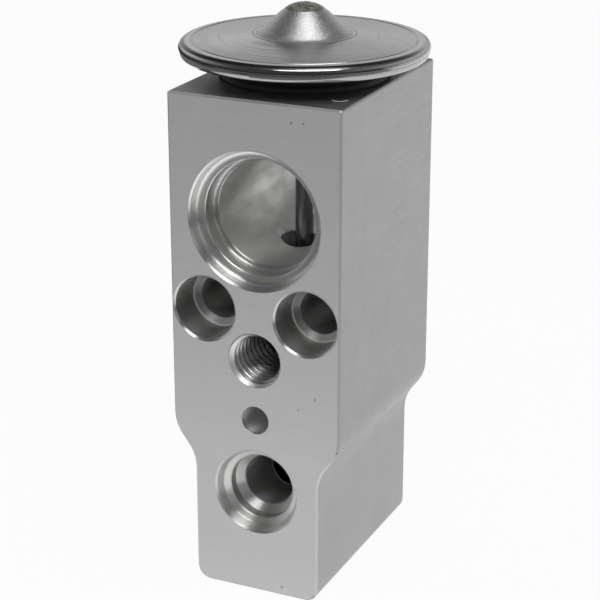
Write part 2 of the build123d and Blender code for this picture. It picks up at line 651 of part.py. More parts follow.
def adjusting_screw_o_ring():
    place = Pos(0, 0, SCREW_GROOVE_Z + SCREW_GROOVE_WIDTH / 2)
    return place * Torus(SCREW_RING_RADIUS, SCREW_RING_SECTION)


PIECES = [
    valve_body,
    upper_diaphragm_cover,
    charge_plug,
    plug_sealant,
    lower_diaphragm_housing,
    diaphragm,
    diaphragm_stop,
    head_o_ring,
    sensing_rod,
    rod_o_ring,
    rod_ring_retainer,
    valve_ball,
    ball_holder,
    holder_damping_ring,
    superheat_spring,
    adjusting_screw,
    adjusting_screw_o_ring,
]

os.makedirs("parts", exist_ok=True)
for piece in PIECES:
    export_step(piece(), f"parts/{piece.__name__}.step")
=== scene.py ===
import bpy
import math
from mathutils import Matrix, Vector, noise


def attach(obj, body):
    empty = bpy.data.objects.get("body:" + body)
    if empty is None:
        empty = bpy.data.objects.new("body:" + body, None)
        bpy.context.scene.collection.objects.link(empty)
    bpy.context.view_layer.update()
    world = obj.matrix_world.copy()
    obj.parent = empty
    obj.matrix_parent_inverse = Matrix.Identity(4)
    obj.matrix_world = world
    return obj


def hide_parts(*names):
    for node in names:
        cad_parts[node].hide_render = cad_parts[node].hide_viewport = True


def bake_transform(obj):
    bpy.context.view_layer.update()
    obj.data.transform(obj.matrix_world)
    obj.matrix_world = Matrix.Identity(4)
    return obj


# Looks, extra pieces, camera and lights of a block-type thermostatic expansion valve.
# Places and sizes on the valve are in millimetres, in the shaders too. Those of the studio
# are in metres.

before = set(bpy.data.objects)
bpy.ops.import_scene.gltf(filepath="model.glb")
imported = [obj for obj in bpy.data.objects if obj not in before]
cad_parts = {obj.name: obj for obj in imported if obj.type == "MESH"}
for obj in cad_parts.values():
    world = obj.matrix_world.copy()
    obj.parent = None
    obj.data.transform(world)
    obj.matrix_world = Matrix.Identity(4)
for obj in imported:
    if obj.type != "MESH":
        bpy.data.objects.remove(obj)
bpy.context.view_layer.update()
MM = 0.001

# The block: half its depth, its height, and a height just above its shoulders
FACE_Y = 16.4
BLOCK_HEIGHT = 72.1
SHOULDER_Z = 24.5
# Surfaces nearer the middle plane than this are inside the block, in the foot and above it
FOOT_LIMIT_X = 9.1
BODY_LIMIT_X = 12.42
# Surfaces this near to a face, the top or the foot belong to the block's skin
SKIN = 0.02

# Heights of the holes' axes, and the fixing holes' distance from the middle
SUCTION_Z = 55.45
LIQUID_Z = 15.58
FEED_Z = 27.0
BOLT_Z = 42.0
BOLT_X = 7.63
STUD_Z = 35.45
PIN_Z = 26.57
# Machined holes: X and Z of the axis, reach in radius, depth of the polished mouth,
# side that it opens on (-1 is the line face), how far in it runs, and how light the
# metal is painted deep inside (painted shade) and at the mouth (its own shine and painted light)
HOLES = [
    (0, SUCTION_Z, 9.96, 4.5, -1, 16.4, 0.82, 0.76),
    (0, SUCTION_Z, 9.96, 4.5, 1, 16.4, 0.82, 0.76),
    (0, LIQUID_Z, 6.48, 4.4, -1, 16.4, 0.46, 0.74),
    (0, FEED_Z, 6.48, 4.4, 1, 22.0, 0.46, 0.74),
    (-BOLT_X, BOLT_Z, 4.91, 4.9, -1, 33.0, 0.48, 0.74),
    (BOLT_X, BOLT_Z, 4.91, 4.9, -1, 33.0, 0.48, 0.74),
    (0, STUD_Z, 4.05, 3.0, -1, 14.0, 0.25, 0.50),
    (0, PIN_Z, 2.15, 0.3, -1, 9.0, 0.83, 0.5),
]
# The suction way's wall lies within this radius, and its gland within this height and depth
SUCTION_WALL_LIMIT = 8.0
SUCTION_GLAND_HEIGHT = 10.0
SUCTION_GLAND_DEPTH = 2.3
# The fixing holes' counterbores: floor depth, inner edge of the floor, and the corner
# between floor and wall that gets a painted highlight, as its radius and depth
COUNTERBORE_DEPTH = 5.0
COUNTERBORE_INNER = 3.27
COUNTERBORE_CORNER = (4.17, 4.9)
# Edge where the spring chamber crosses the liquid port's bore, which gets a painted highlight
CHAMBER_EDGE_RADIUS = 5.06

# Thread of the stud hole: root and crest radius, pitch and depth
STUD_ROOT = 4.0
STUD_CREST = 3.35
STUD_PITCH = 1.25
STUD_DEPTH = 11.0

# The power head: where the cone meets the plate, its upper rim, the sealant and the rolled rim
CONE_FOOT_RADIUS = 7.0
CONE_RIM_Z = 81.35
CONE_RIM_RADIUS = 2.6
CONE_RIM_SLOPE = 0.78
SEALANT_TOP_Z = 82.15
SEALANT_EDGE_RADIUS = 2.74
RIM_RADIUS = 15.6

# Superheat spring: radius of the coil's middle line and of the wire, turns, and both ends
SPRING_RADIUS = 3.4
SPRING_WIRE_RADIUS = 0.4
SPRING_TURNS = 4.5
SPRING_SEAT_Z = 9.2
SPRING_TOP_Z = 15.837

# Painted reflections of the cone in the cover's plate, as faint arcs in front of it: radius, half width,
# middle and half length in degrees, and how much darker they are. The last one is a broad painted light.
COVER_PAINTED_REFLECTIONS = [
    (8.5, 0.9, -90, 36, 0.30),
    (10.4, 0.16, -90, 16, 0.25),
    (11.4, 0.14, -92, 24, 0.18),
    (13.1, 0.16, -93, 14, 0.30),
    (11.7, 0.22, -143, 19, 0.22),
    (9.3, 0.12, -88, 30, 0.25),
    (12.4, 0.25, -44, 7, 0.16),
    (10.2, 4.0, -90, 80, -0.19),
]
# Small dark specks in the line face: X, Z and radius
SPECKS = [(5.61, 69.75, 0.13), (7.32, 69.81, 0.12), (9.11, 31.32, 0.12), (6.56, 29.36, 0.10), (4.01, 1.37, 0.14)]
# Nick in the right side: Y and Z
SIDE_NICK = (1.59, 23.32)
# Bent nick in the top: X, Y and the radius of its bend
TOP_NICK = (10.15, -11.0, 1.0)
SCRATCH_SLANT = math.radians(7)


def aim(thing, target):
    """Turns a camera or a lamp towards a point."""
    thing.rotation_euler = (target - thing.location).to_track_quat("-Z", "Y").to_euler()


# Camera, at the photograph's viewing angle
camera_data = bpy.data.cameras.new("camera")
camera_data.lens = 112.58
camera_data.sensor_width = 36.0
camera_data.clip_start = 0.01
camera_data.clip_end = 20
camera = bpy.data.objects.new("camera", camera_data)
bpy.context.scene.collection.objects.link(camera)
camera.location = Vector((105.61, -230.1, 132.93)) * MM
aim(camera, Vector((6.871, -16.4, 45.478)) * MM)
bpy.context.scene.camera = camera
bpy.context.scene.view_settings.view_transform = "Standard"


class Shader:
    """A material's node tree, with a short call for each node used here."""

    def __init__(self, name):
        self.material = bpy.data.materials.new(name)
        self.material.use_nodes = True
        self.tree = self.material.node_tree
        self.tree.nodes.clear()
        self.surface = self.node("ShaderNodeBsdfPrincipled")
        out = self.node("ShaderNodeOutputMaterial")
        self.tree.links.new(self.surface.outputs[0], out.inputs["Surface"])
        place = self.node("ShaderNodeTexCoord").outputs["Object"]
        self.place = self.vector("MULTIPLY", place, (1 / MM, 1 / MM, 1 / MM))
        self.x, self.y, self.z = self.split(self.place)

    def node(self, kind, **settings):
        made = self.tree.nodes.new(kind)
        for name, value in settings.items():
            setattr(made, name, value)
        return made

    def put(self, socket, value):
        if isinstance(value, bpy.types.NodeSocket):
            self.tree.links.new(value, socket)
        else:
            socket.default_value = value

    def math(self, operation, *values):
        made = self.node("ShaderNodeMath", operation=operation)
        for socket, value in zip(made.inputs, values):
            self.put(socket, value)
        return made.outputs[0]

    def fold(self, operation, values):
        total = values[0]
        for value in values[1:]:
            total = self.math(operation, total, value)
        return total

    def add(self, *values):
        return self.fold("ADD", values)

    def times(self, *values):
        return self.fold("MULTIPLY", values)

    def largest(self, *values):
        return self.fold("MAXIMUM", values)

    def minus(self, a, b):
        return self.math("SUBTRACT", a, b)

    def invert(self, share):
        return self.math("SUBTRACT", 1.0, share)

    def divide(self, a, b):
        return self.math("DIVIDE", a, b)

    def absolute(self, value):
        return self.math("ABSOLUTE", value)

    def below(self, value, limit):
        return self.math("LESS_THAN", value, limit)

    def above(self, value, limit):
        return self.math("GREATER_THAN", value, limit)

    def ramp(self, value, low, high, to_low=0.0, to_high=1.0):
        """Maps low..high to to_low..to_high, smooth and held at the ends."""
        made = self.node("ShaderNodeMapRange", interpolation_type="SMOOTHSTEP")
        for socket, v in zip(made.inputs, (value, low, high, to_low, to_high)):
            self.put(socket, v)
        return made.outputs[0]

    def band(self, value, middle, inner, outer, peak=1.0):
        """Holds the peak up to the inner distance from the middle, and is 0 from the outer one on."""
        return self.ramp(self.absolute(self.minus(value, middle)), inner, outer, peak, 0.0)

    def vector(self, operation, a, b):
        made = self.node("ShaderNodeVectorMath", operation=operation)
        self.put(made.inputs[0], a)
        self.put(made.inputs[1], b)
        return made.outputs[0]

    def scaled(self, vector, amount):
        made = self.node("ShaderNodeVectorMath", operation="SCALE")
        self.put(made.inputs[0], vector)
        self.put(made.inputs["Scale"], amount)
        return made.outputs[0]

    def split(self, vector):
        made = self.node("ShaderNodeSeparateXYZ")
        self.put(made.inputs[0], vector)
        return made.outputs

    def join(self, x=0.0, y=0.0, z=0.0):
        made = self.node("ShaderNodeCombineXYZ")
        for socket, value in zip(made.inputs, (x, y, z)):
            self.put(socket, value)
        return made.outputs[0]

    def distance(self, *offsets):
        """Length of a vector given by its parts."""
        parts = [self.times(part, part) for part in offsets]
        return self.math("SQRT", self.add(*parts))

    def noise(self, vector, size, detail, rough):
        made = self.node("ShaderNodeTexNoise")
        self.put(made.inputs["Vector"], vector)
        made.inputs["Scale"].default_value = size
        made.inputs["Detail"].default_value = detail
        made.inputs["Roughness"].default_value = rough
        return made.outputs[0]

    def stretched_noise(self, factors, detail, rough):
        """Noise with its own size along each axis."""
        return self.noise(self.vector("MULTIPLY", self.place, factors), 1.0, detail, rough)

    def rings(self, radius, size):
        """Fine rings round the valve's axis."""
        return self.noise(self.join(self.times(radius, size), self.times(self.z, size)), 1.0, 3.0, 0.6)

    def outward(self, radius):
        """Direction away from the valve's axis and down."""
        return self.join(self.divide(self.x, radius), self.divide(self.y, radius), -1.0)

    def mix(self, amount, a, b):
        """Mixes two colours or two numbers."""
        colour = any(isinstance(v, tuple) or getattr(v, "type", "") == "RGBA" for v in (a, b))
        made = self.node("ShaderNodeMix", data_type="RGBA" if colour else "FLOAT")
        # the node's inputs for numbers start at 2, those for colours at 6
        first = 6 if colour else 2
        self.put(made.inputs[0], amount)
        for socket, value in zip(made.inputs[first:first + 2], (a, b)):
            self.put(socket, (*value, 1.0) if isinstance(value, tuple) else value)
        return made.outputs[2 if colour else 0]

    def bump(self, height, distance_mm):
        made = self.node("ShaderNodeBump")
        made.inputs["Distance"].default_value = distance_mm * MM
        self.put(made.inputs["Height"], height)
        return made.outputs["Normal"]

    def finish(self, **sockets):
        for name, value in sockets.items():
            socket = self.surface.inputs[name.replace("_", " ").title()]
            self.put(socket, (*value, 1.0) if isinstance(value, tuple) else value)
        return self.material


def grey(level, tint=(1.0, 1.0, 1.0)):
    return tuple(level * part for part in tint)


# Materials

def machined_holes(s, depth):
    """What the block's shader needs from the list of holes, each as a shader value."""
    track, drilled, turned, deep_painted_shade, mouth_shine_and_painted_light, painted_glint, floor_painted_light = depth, 0.0, 0.0, 0.0, 0.0, 0.0, 1.0
    ways = []
    for x0, z0, reach, polished_depth, side, run, level, mouth in HOLES:
        across = s.minus(s.x, x0)
        up = s.minus(s.z, z0)
        radius = s.distance(across, up)
        way_in = s.math("MULTIPLY_ADD", s.y, -side, FACE_Y)
        near = s.times(s.below(radius, reach), s.below(way_in, run))
        track = s.add(track, s.times(near, radius))
        drilled = s.largest(drilled, s.times(near, s.above(way_in, polished_depth)))
        turned = s.largest(turned, near)
        # painted shade deep inside each hole, and the mouth's own shine with painted light
        deep_painted_shade = s.largest(deep_painted_shade, s.times(near, level))
        mouth_shine_and_painted_light = s.largest(mouth_shine_and_painted_light, s.times(near, mouth))
        if z0 == BOLT_Z:
            # painted light and shade: the counterbore's floor is lighter towards the lower right and darker
            # towards the upper left
            on_floor = s.times(near, s.above(way_in, COUNTERBORE_DEPTH), s.above(radius, COUNTERBORE_INNER))
            lower_right = s.add(s.times(across, 0.16), s.times(up, -0.12))
            floor_painted_light = s.add(floor_painted_light, s.times(on_floor, s.ramp(lower_right, -0.9, 0.9, -0.25, 0.9)))
            # painted highlight along the corner between floor and wall
            corner_radius, corner_depth = COUNTERBORE_CORNER
            off_corner = s.distance(s.minus(radius, corner_radius), s.minus(way_in, corner_depth))
            painted_glint = s.largest(painted_glint, s.ramp(off_corner, 0.09, 0.20, 1.0, 0.0))
        elif z0 == LIQUID_Z:
            # painted highlight along the edge where the spring chamber crosses the bore
            chamber_edge = s.band(s.distance(s.x, s.y), CHAMBER_EDGE_RADIUS, 0.1, 0.4)
            painted_glint = s.largest(painted_glint, s.times(chamber_edge, near))
        way = s.join(s.times(across, -1.0), s.times(radius, -side), s.times(up, -1.0))
        ways.append(s.scaled(way, s.divide(near, s.largest(radius, 0.01))))
    return {"track": track, "drilled": drilled, "turned": turned, "deep_painted_shade": deep_painted_shade,
            "mouth_shine_and_painted_light": mouth_shine_and_painted_light, "painted_glint": painted_glint, "floor_painted_light": floor_painted_light, "ways": ways}


def dents_and_scratches(s, on_face, on_side):
    """Specks in the line face with the nick in the right side, and faint scratches on the sides."""
    specks = 0.0
    for x0, z0, size in SPECKS:
        away = s.distance(s.minus(s.x, x0), s.minus(s.z, z0))
        specks = s.largest(specks, s.ramp(away, size * 0.8, size * 2.2, 1.0, 0.0))
    specks = s.times(specks, on_face, s.below(s.y, 0.0))
    nick_y, nick_z = SIDE_NICK
    nick = s.distance(s.minus(s.y, nick_y), s.times(s.minus(s.z, nick_z), 0.7))
    nick = s.times(s.ramp(nick, 0.16, 0.34, 1.0, 0.0), s.above(s.x, 8.0), on_side)

    cos, sin = math.cos(SCRATCH_SLANT), math.sin(SCRATCH_SLANT)
    along = s.add(s.times(s.y, cos), s.times(s.z, sin))
    aside = s.add(s.times(s.y, -sin), s.times(s.z, cos))
    scratch = s.ramp(s.noise(s.join(s.times(along, 0.14), s.times(aside, 4.5), s.x), 1.0, 2.0, 0.5), 0.60, 0.68)
    patch = s.ramp(s.stretched_noise((0.1, 0.07, 0.07), 2.0, 0.5), 0.48, 0.58)
    return s.largest(specks, nick), s.times(scratch, patch, on_side)


def top_nick(s, on_top):
    """Half ring that a bent nick leaves in the top face, near the corner."""
    nick_x, nick_y, bend_radius = TOP_NICK
    across, back = s.minus(s.x, nick_x), s.minus(s.y, nick_y)
    ring = s.band(s.distance(across, back), bend_radius, 0.08, 0.28)
    front_half = s.below(s.add(s.times(back, 0.92), s.times(across, -0.39)), -0.3)
    return s.times(ring, on_top, front_half)


def bore_metal(s, depth, holes):
    """Colour inside the block: the holes' levels, painted shade deep inside and painted light at the mouth, with
    painted light and shade in the suction port.
    """
    bare = s.times(s.invert(holes["turned"]), 0.40)
    bore = s.mix(holes["drilled"], s.largest(holes["mouth_shine_and_painted_light"], bare), s.largest(holes["deep_painted_shade"], bare))
    # painted light and shade: the suction way's wall is lighter further in and darker low down
    off_axis = s.minus(s.z, SUCTION_Z)
    in_suction = s.below(s.distance(s.x, off_axis), SUCTION_WALL_LIMIT)
    wall = s.times(s.ramp(depth, 4.5, 15.0, 0.9, 1.12), s.ramp(s.z, 48.5, 54.0, 0.84, 1.0))
    bore = s.times(bore, holes["floor_painted_light"], s.mix(in_suction, 1.0, wall))
    # painted highlights at the counterbore corners and the chamber edge
    bore = s.scaled((1.0, 1.0, 0.985), s.largest(bore, s.times(holes["painted_glint"], 0.95)))
    # the suction gland catches more light on its upper left
    gland = s.times(s.below(s.absolute(off_axis), SUCTION_GLAND_HEIGHT), s.below(depth, SUCTION_GLAND_DEPTH))
    upper_left = s.ramp(s.minus(off_axis, s.x), 1.0, 9.0, 0.0, 0.28)
    return s.scaled(bore, s.add(1.0, s.times(gland, upper_left)))


def block_aluminium():
    s = Shader("block_aluminium")
    depth = s.minus(FACE_Y, s.absolute(s.y))
    # 1 on every surface inside the block, 0 on its own skin
    limit_x = s.ramp(s.z, SHOULDER_Z - 0.1, SHOULDER_Z + 0.1, FOOT_LIMIT_X, BODY_LIMIT_X)
    inside = s.times(s.below(s.absolute(s.x), limit_x), s.above(depth, SKIN),
                     s.below(s.z, BLOCK_HEIGHT - SKIN), s.above(s.z, SKIN))

    # turning marks follow the depth and the radius about each hole's axis
    holes = machined_holes(s, depth)
    holes["turned"] = s.times(holes["turned"], inside)
    drilled, turned, painted_glint = holes["drilled"], holes["turned"], holes["painted_glint"]
    turning = s.noise(s.join(s.times(holes["track"], 9.0)), 1.0, 3.0, 0.6)
    blotch = s.stretched_noise((0.5, 0.16, 0.5), 3.0, 0.6)

    # the faces are milled across X, the sides keep the extrusion's lines along Y
    normal_x, normal_y, normal_z = s.split(s.node("ShaderNodeNewGeometry").outputs["True Normal"])
    on_face = s.above(s.absolute(normal_y), 0.7)
    on_side = s.above(s.absolute(normal_x), 0.7)
    on_top = s.times(s.above(s.z, BLOCK_HEIGHT - 0.2), s.above(normal_z, 0.9))
    milled = s.stretched_noise((0.12, 1.0, 9.0), 4.0, 0.7)
    drawn = s.stretched_noise((6.0, 0.10, 7.0), 4.0, 0.7)
    fine = s.mix(on_face, drawn, milled)
    lines = s.mix(inside, fine, turning)
    broad = s.stretched_noise((0.03, 0.03, 0.16), 2.0, 0.5)
    smudge = s.times(s.minus(s.stretched_noise((0.3, 0.3, 0.16), 3.0, 0.6), 0.5), on_side)

    dents, scratch = dents_and_scratches(s, on_face, on_side)
    bend = top_nick(s, on_top)
    tone = s.add(0.86, s.times(lines, 0.24), s.times(broad, 0.06), s.times(scratch, -0.08), s.times(smudge, 0.16))
    tone = s.times(tone, s.invert(s.times(dents, 0.42)))
    # above the shoulders, the slanted edges between face and side are darker: painted shade
    lean = s.absolute(normal_y)
    slanted = s.times(s.below(lean, 0.85), s.above(lean, 0.2), s.above(s.absolute(normal_x), 0.5))
    tone = s.times(tone, s.invert(s.times(slanted, s.invert(turned), s.ramp(s.z, 20.0, 25.0, 0.0, 0.36))))

    # painted light and shade: the faces get a lighter base than the sides, and at the foot the sides are a little
    # lighter and the faces a little darker
    side_skin = s.times(0.4189, s.ramp(s.z, 17.0, 26.0, 1.08, 1.0))
    face_skin = s.times(0.7674, s.ramp(s.z, 4.0, 24.0, 0.96, 1.03))
    skin = s.mix(on_face, side_skin, face_skin)
    # painted shade: the top face is a darker grey
    skin = s.mix(on_top, skin, grey(0.33))
    skin = s.mix(bend, skin, grey(0.95))
    colour = s.scaled(s.mix(inside, skin, bore_metal(s, depth, holes)), tone)

    polished = s.add(s.ramp(turning, 0.2, 0.8, 0.26, 0.38), s.ramp(s.z, 30.0, 34.0, 0.09, 0.0))
    dull = s.ramp(blotch, 0.3, 0.7, 0.44, 0.58)
    rough = s.mix(inside, s.ramp(fine, 0.2, 0.8, 0.38, 0.52), s.mix(drilled, polished, dull))
    # light spreads across the marks: in and out of the holes, and up and down the skin
    spread = s.scaled((0.0, 0.05, 1.0), s.invert(turned))
    for way in holes["ways"]:
        spread = s.vector("ADD", spread, way)
    relief = s.bump(s.minus(lines, s.times(dents, 4.0)), 0.012)
    metal = s.mix(s.times(on_face, s.invert(inside)), 1.0, 0.60)
    # the broken edge over the line face catches the light
    edge = s.times(s.above(s.z, BLOCK_HEIGHT - 0.28), s.below(normal_y, -0.3))
    metal = s.mix(edge, metal, 0.25)
    # the nick and the painted highlights are not metallic
    metal = s.mix(s.largest(bend, s.times(painted_glint, inside, 0.8)), metal, 0.0)
    return s.finish(base_color=colour, metallic=metal, roughness=rough, normal=relief,
                    anisotropic=0.8, tangent=spread)


def spun_steel(name, level, rough_low, rough_high, depth=0.002, ridge=0.4, round_about=False):
    """Pressed or turned steel, with fine rings round the valve's axis."""
    s = Shader(name)
    radius = s.distance(s.x, s.y)
    rings = s.rings(radius, 5.0)
    cloud = s.noise(s.place, 0.35, 4.0, 0.6)
    grain = s.noise(s.place, 5.0, 2.0, 0.5)
    mixed = s.add(s.times(rings, 0.5), s.times(cloud, 0.3), s.times(grain, 0.2))
    colour = s.mix(mixed, grey(level * 0.88), grey(level * 1.08, (1.0, 0.998, 0.99)))
    rough = s.ramp(mixed, 0.3, 0.7, rough_low, rough_high)
    spread = s.join(s.times(s.y, -1.0), s.x) if round_about else s.outward(radius)
    return s.finish(base_color=colour, metallic=1.0, roughness=rough, normal=s.bump(mixed, depth),
                    anisotropic=ridge, tangent=spread)


def cover_steel():
    """The cover's finish: satin plate with faint arcs, painted reflections of the cone and painted shade on the
    rolled rim, and a duller, mottled cone with painted shade and a painted highlight at its foot.
    """
    s = Shader("cover_steel")
    radius = s.distance(s.x, s.y)
    turn = s.math("ARCTAN2", s.y, s.x)
    rings = s.rings(radius, 5.0)
    arcs = s.ramp(s.noise(s.join(s.times(radius, 4.0), s.times(turn, 1.3), 3.0), 1.0, 2.0, 0.5), 0.60, 0.68)
    cloud = s.noise(s.place, 0.4, 4.0, 0.6)
    mottle = s.stretched_noise((3.2, 3.2, 1.6), 4.0, 0.7)
    on_cone = s.ramp(radius, CONE_FOOT_RADIUS - 0.15, CONE_FOOT_RADIUS + 0.15, 1.0, 0.0)
    # at the cone's foot: a groove with painted shade in it, and a painted highlight just inside it
    foot_groove_and_shade = s.band(radius, CONE_FOOT_RADIUS + 0.1, 0.05, 0.16)
    foot_painted_highlight = s.band(radius, CONE_FOOT_RADIUS - 0.18, 0.0, 0.12)

    # painted reflections of the cone in the plate in front of it
    painted_reflection = 0.0
    for reach, half, middle, length, darker in COVER_PAINTED_REFLECTIONS:
        off_arc = s.band(radius, reach, half * 0.5, half, darker)
        along_arc = s.band(turn, math.radians(middle), math.radians(length * 0.6), math.radians(length))
        painted_reflection = s.add(painted_reflection, s.times(off_arc, along_arc))
    # painted shade: the rolled rim is darker above and below the line that catches the light, most at the front
    on_rim = s.ramp(radius, RIM_RADIUS, RIM_RADIUS + 0.25)
    lean = s.split(s.node("ShaderNodeNewGeometry").outputs["Normal"])[2]
    above_line = s.times(s.ramp(lean, 0.62, 0.74, 0.0, 0.85), s.ramp(lean, 0.988, 0.996, 1.0, 0.0))
    shade = s.add(above_line, s.ramp(lean, 0.30, 0.46, 0.6, 0.0))
    shade = s.times(shade, s.ramp(s.y, -12.0, 0.0, 1.0, 0.3))

    plate = s.add(0.90, s.times(rings, 0.10), s.times(cloud, 0.10), s.times(arcs, -0.18))
    plate = s.times(plate, s.invert(s.add(painted_reflection, s.times(on_rim, shade))))
    tone = s.mix(on_cone, plate, s.add(0.45, s.times(mottle, 1.45)))
    tone = s.add(tone, s.times(foot_groove_and_shade, -0.45), s.times(foot_painted_highlight, 0.9))
    colour = s.scaled(grey(0.50, (1.0, 1.0, 0.99)), tone)
    plate_rough = s.mix(on_rim, s.ramp(cloud, 0.3, 0.7, 0.22, 0.27), s.ramp(rings, 0.3, 0.7, 0.13, 0.20))
    rough = s.mix(on_cone, plate_rough, s.ramp(mottle, 0.3, 0.7, 0.31, 0.43))
    height = s.add(s.times(rings, 0.3), s.times(arcs, -0.5), s.times(foot_groove_and_shade, -2.0),
                   s.times(mottle, on_cone, 5.5))
    # light spreads outward over the plate and cone, and along the rim
    round_rim = s.join(s.divide(s.y, s.times(radius, -1.0)), s.divide(s.x, radius))
    spread = s.vector("ADD", s.scaled(s.outward(radius), s.invert(on_rim)), s.scaled(round_rim, on_rim))
    return s.finish(base_color=colour, metallic=1.0, roughness=rough, normal=s.bump(height, 0.01),
                    anisotropic=0.3, tangent=spread)


def rubber():
    s = Shader("seal_rubber")
    grain = s.noise(s.place, 6.0, 4.0, 0.6)
    colour = s.mix(grain, grey(0.012), grey(0.035))
    return s.finish(base_color=colour, roughness=s.ramp(grain, 0.3, 0.7, 0.5, 0.7), normal=s.bump(grain, 0.02))


def brass():
    s = Shader("turned_brass")
    rings = s.rings(s.distance(s.x, s.y), 6.0)
    cloud = s.noise(s.place, 0.6, 3.0, 0.5)
    colour = s.mix(cloud, (0.50, 0.35, 0.13), (0.66, 0.50, 0.23))
    return s.finish(base_color=colour, metallic=1.0, roughness=s.ramp(rings, 0.2, 0.8, 0.2, 0.36),
                    normal=s.bump(rings, 0.004))


def sealant():
    """Dark compound with pale flecks."""
    s = Shader("plug_sealant")
    lumps = s.noise(s.place, 1.6, 4.0, 0.6)
    fine = s.noise(s.place, 7.0, 3.0, 0.6)
    colour = s.mix(s.ramp(lumps, 0.35, 0.68), (0.045, 0.048, 0.034), (0.21, 0.22, 0.165))
    colour = s.mix(s.ramp(fine, 0.62, 0.70, 0.0, 0.5), colour, (0.46, 0.47, 0.42))
    height = s.add(lumps, s.times(fine, 0.3))
    return s.finish(base_color=colour, roughness=s.ramp(fine, 0.3, 0.7, 0.16, 0.42), normal=s.bump(height, 0.08))


def thread_aluminium():
    """Painted light and shade: light crests, darker roots and a darker far end."""
    s = Shader("thread_aluminium")
    radius = s.distance(s.x, s.minus(s.z, STUD_Z))
    marks = s.noise(s.vector("MULTIPLY", s.place, (1.0, 9.0, 1.0)), 1.5, 3.0, 0.6)
    crest = s.ramp(radius, STUD_CREST, STUD_CREST + 0.25, 1.0, 0.0)
    depth = s.add(s.y, FACE_Y)
    mouth = s.below(s.add(depth, radius), STUD_ROOT + 0.12)
    # painted light on the crests, painted shade in the roots and towards the far end
    colour = s.scaled(s.mix(crest, grey(0.52), grey(0.92)), s.ramp(depth, 0.8, 6.0, 1.0, 0.65))
    colour = s.mix(mouth, colour, grey(0.85))
    rough = s.mix(mouth, s.ramp(marks, 0.3, 0.7, 0.26, 0.34), 0.42)
    return s.finish(base_color=colour, metallic=1.0, roughness=rough, normal=s.bump(marks, 0.0015))


materials = {
    "valve_body": block_aluminium(),
    "upper_diaphragm_cover": cover_steel(),
    "lower_diaphragm_housing": spun_steel("housing_steel", 0.46, 0.13, 0.19, ridge=0.5, round_about=True),
    "charge_plug": spun_steel("plug_steel", 0.48, 0.2, 0.34),
    "plug_sealant": sealant(),
    "diaphragm": spun_steel("diaphragm_steel", 0.55, 0.14, 0.22, 0.001),
    "diaphragm_stop": brass(),
    "head_o_ring": rubber(),
    "sensing_rod": spun_steel("rod_steel", 0.26, 0.12, 0.22, 0.001),
    "rod_ring_retainer": spun_steel("retainer_steel", 0.40, 0.2, 0.3),
    "valve_ball": spun_steel("ball_steel", 0.62, 0.04, 0.08, 0.0004, 0.0),
    "ball_holder": spun_steel("holder_steel", 0.46, 0.18, 0.3),
    "holder_damping_ring": spun_steel("damping_steel", 0.42, 0.2, 0.3),
    "superheat_spring": spun_steel("spring_steel", 0.36, 0.2, 0.32),
    "adjusting_screw": brass(),
}
materials["rod_o_ring"] = materials["head_o_ring"]
materials["adjusting_screw_o_ring"] = materials["head_o_ring"]
for name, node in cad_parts.items():
    node.data.materials.clear()
    node.data.materials.append(materials[name])


# Pieces that only this script makes

def new_piece(name, verts, faces, material):
    mesh = bpy.data.meshes.new(name)
    mesh.from_pydata([Vector(v) * MM for v in verts], [], faces)
    mesh.validate()
    mesh.shade_smooth()
    mesh.materials.append(material)
    piece = bpy.data.objects.new(name, mesh)
    bpy.context.scene.collection.objects.link(piece)
    return piece


def ring_faces(bands, steps, first=0, inward=False):
    """Quads between neighbouring rings, each of them steps points long, from point first on."""
    faces = []
    for band in range(bands):
        for step in range(steps):
            a = first + band * steps + step
            b = first + band * steps + (step + 1) % steps
            faces.append((a, b, b + steps, a + steps) if inward else (a, a + steps, b + steps, b))
    return faces


def stud_thread():
    """Helical thread as one skin inside the smooth CAD hole."""
    turn_steps, depth_steps = 72, 130
    start, end = 0.01, STUD_DEPTH - 0.25
    root = STUD_ROOT - 0.02
    flat = 0.125 * STUD_PITCH
    verts = []
    for i in range(depth_steps + 1):
        depth = start + (end - start) * i / depth_steps
        for j in range(turn_steps):
            angle = 2 * math.pi * j / turn_steps
            phase = (depth / STUD_PITCH + j / turn_steps) % 1.0
            away = abs(phase - 0.5) * 2 * (STUD_PITCH / 2)
            rise = (away - flat / 2) / (STUD_PITCH / 2 - flat)
            height = min(1.0, max(0.0, rise))
            radius = max(root - (root - STUD_CREST) * height, root - depth)
            verts.append((math.cos(angle) * radius, -FACE_Y + depth, STUD_Z + math.sin(angle) * radius))
    return verts, ring_faces(depth_steps, turn_steps, inward=True)


thread = new_piece("stud_thread", *stud_thread(), thread_aluminium())
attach(thread, "block")


def sealant_dome():
    """Lumpy dome over the charge plug, smeared over the cone's rim with a wavy edge."""
    ring_count, turn_steps = 34, 112
    verts = [(0.0, 0.0, SEALANT_TOP_Z - 0.03)]
    for i in range(1, ring_count + 1):
        share = i / ring_count
        for j in range(turn_steps):
            angle = 2 * math.pi * j / turn_steps
            way = Vector((math.cos(angle), math.sin(angle), 0))
            waves = 0.10 * noise.noise(way * 1.6) + 0.05 * noise.noise(way * 6)
            edge = SEALANT_EDGE_RADIUS + waves - 0.12 * way.y
            radius = share * edge
            skin = CONE_RIM_Z - (edge - CONE_RIM_RADIUS) * CONE_RIM_SLOPE
            lip = 0.09 * (1 - share ** 14) - 0.03
            swell = (SEALANT_TOP_Z - skin - 0.12) * (1 - share ** 2.1)
            lumps = noise.noise(way * radius * 1.5) * 0.07 + noise.noise(way * radius * 4) * 0.025
            height = skin + lip + swell + lumps * (1 - share ** 5) - 0.05 * way.x * share * (1 - share)
            verts.append((way.x * radius, way.y * radius, height))
    cap = [(0, 1 + j, 1 + (j + 1) % turn_steps) for j in range(turn_steps)]
    return verts, cap + ring_faces(ring_count - 1, turn_steps, first=1)


dome = new_piece("plug_sealant_dome", *sealant_dome(), materials["plug_sealant"])
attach(dome, "block")
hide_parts("plug_sealant")


